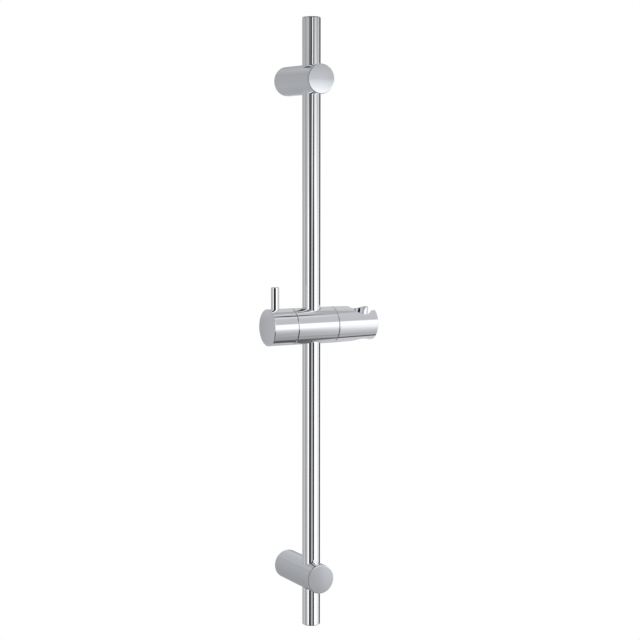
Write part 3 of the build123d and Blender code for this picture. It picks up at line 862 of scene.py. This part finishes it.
# %% Boards for the slider
slider_boards = (
    Board("back cloth", (-180, 180), soft, *full, 170, 170),
    Board("back cloth, low", (-180, 180), soft, -0.90, -0.20, 176, 168),
    Board("right cloth", (96, 156), soft, *full, 197, 197),
    Board("right cloth, end", (143, 160), 5, -0.75, -0.42, 172, 172, 0.05),
    Board("front cloth, high", (8, 120), soft, 0.24, 0.70, 190, 194),
    Board("front cloth, top", (8, 106), soft, 0.70, 2.00, 194, 194),
    Board("far top", (108, 130), 6, 0.95, 1.25, 172, 172, 0.03),
    Board("floor, left", (8, 79), 4, -2.00, -0.67, 142, 158),
    Board("low left", (8, 73), 5, -0.67, -0.40, 157, 170),
    Board("middle left", (8, 73), 5, -0.40, -0.19, 170, 200),
    Board("floor, right", (62, 76), 6, -1.02, -0.67, 168, 175),
    Board("low right", (43, 74), soft, -0.67, -0.40, 175, 196),
    Board("middle right", (40, 74), soft, -0.40, -0.22, 196, 226),
    Board("glow, left", (8, 74), 5, -0.19, -0.03, 200, 258),
    Board("glow, right", (38, 74), soft, -0.22, -0.12, 226, 255),
    Board("softbox", (8, 76), 5, -0.03, 0.165, 262, 262, 0.01),
    Board("softbox, upper edge", (8, 76), 5, 0.165, 0.24, 262, 191, 0.01),
    Board("left side board", (-97, -80), crisp, *full, 172, 162),
    Board("left softbox", (-80, -53), crisp, -0.60, 0.22, 240, 262, 0.06),
    Board("left gap", (-53, -31), crisp, -0.50, 0.40, 62, 62, 0.20),
    Board("middle board", (-31, -6), crisp, *full, 172, 190),
    Board("middle gap", (-6, 6), crisp, -0.50, 0.40, 60, 60, 0.20),
    Board("left shade, low", (-97, 0), 8, -2.00, -0.16, 55, 75, 0.08),
    Board("face board", (-168, -128), 3, -0.40, 0.30, 187, 187),
    Board("face board, wall side", (-180, -151.5), 5, -0.075, -0.045, 156, 156),
    Board("light patch", (40, 50), 4, 0.74, 0.87, 215, 215, 0.04),
    Board("high slot", (56, 66), 4, 0.99, 1.12, 18, 18, 0.04),
    Board("high slot, end", (66, 106), 4, 0.94, 1.12, 171, 171, 0.04),
    Board("floor slot", (80, 126), 4, -2.00, -1.06, 112, 112, 0.02),
    Board("floor slot, rim", (83, 98), 3, -1.06, -0.86, 84, 84, 0.02),
    Board("floor slot, end", (117, 132), 4, -1.06, -0.94, 118, 118, 0.03),
)
print(len(slider_boards), "boards hang round the slider")


# %% [markdown]
# The posts look at the cloth behind, and each cap's domed front looks at a glow that fades both up and
# down, and a little to the right. In front of them at the left hangs a dark board, for the shadow line
# behind each cap.

# %% Boards for the brackets
bracket_boards = (
    Board("back cloth", (-180, 180), soft, -0.75, 0.05, 152, 170),
    Board("back cloth, top", (-180, 180), soft, 0.05, 0.60, 168, 164, 0.05),
    Board("back cloth, crest", (-180, 180), soft, 0.60, 0.76, 165, 181),
    Board("right back board", (148, 180), 5, 0.02, 0.34, 194, 178, 0.05),
    Board("left back board", (-180, -163), 5, -0.02, 0.34, 178, 178, 0.06),
    Board("left board", (-128, -50), soft, *full, 168, 168),
    Board("dark left board", (-36, -6), 4, *full, 40, 40),
    Board("front cloth, low", (5, 100), soft, -0.70, -0.33, 140, 197),
    Board("front cloth, low left", (5, 19), soft, -1.60, -0.33, 130, 165),
    Board("front cloth, low right", (38, 100), soft, -0.80, -0.33, 165, 205),
    Board("glow, low", (5, 100), soft, -0.33, 0.00, 197, 260),
    Board("glow", (5, 100), soft, 0.00, 0.15, 262, 262),
    Board("glow, high", (5, 100), soft, 0.15, 0.29, 262, 203),
    Board("glow, high right", (35, 100), 7, 0.15, 0.29, 256, 192),
    Board("front cloth, high", (5, 100), soft, 0.29, 0.45, 196, 170),
    Board("front cloth, high right", (35, 100), 7, 0.29, 0.36, 187, 182),
    Board("front cloth, top", (5, 100), soft, 0.45, 2.50, 172, 185),
)
print(len(bracket_boards), "boards hang round the brackets")


# %% [markdown]
# The tents are spun from their side line. Rays from the camera pass through them, so that they never
# hide the object, and they cast no shadow. The outer one is closed cloth. The inner ones only add
# their light, and let a ray through to the next. Each is a little smaller than the one round it.

# %% Four tents
tent_steps = 96


def pitch_tent(name, boards, pieces, tint, radius, foot, head, see_through=True):
    """A tent that lights only its own pieces."""
    line = ((foot, 0), (foot, radius), (head, radius), (head, 0))
    tent = link(name, spun(line, along_rail, tent_steps), cloth(name + " cloth", boards, tint, see_through))
    tent.visible_camera = False
    tent.visible_diffuse = False
    tent.visible_shadow = False
    lit = bpy.data.collections.new(name + " pieces")
    for piece in pieces:
        lit.objects.link(piece)
    tent.light_linking.receiver_collection = lit
    print(name, "lights", len(pieces), "pieces")


def pieces_named(*words):
    return [item for item in bpy.data.objects if item.type == "MESH" and item.name.startswith(words)]


on_rail = pieces_named("rail", "end")
on_lever = pieces_named("lever")
on_brackets = pieces_named("upper", "lower")
on_slider = [item for item in bpy.data.objects
             if item.type == "MESH" and item not in on_rail + on_lever + on_brackets and item != floor]
pitch_tent("rail_tent", rail_boards, on_rail, tint=(1.000, 0.997, 1.010),
           radius=0.90, foot=-1.60, head=2.00, see_through=False)
pitch_tent("bracket_tent", bracket_boards, on_brackets, tint=(0.976, 0.997, 1.037),
           radius=0.88, foot=-1.58, head=1.98)
pitch_tent("lever_tent", lever_boards, on_lever, tint=(0.990, 0.997, 1.016),
           radius=0.86, foot=-1.56, head=1.96)
pitch_tent("slider_tent", slider_boards, on_slider, tint=(0.983, 0.997, 1.025),
           radius=0.60, foot=-1.07, head=1.33)


# %% [markdown]
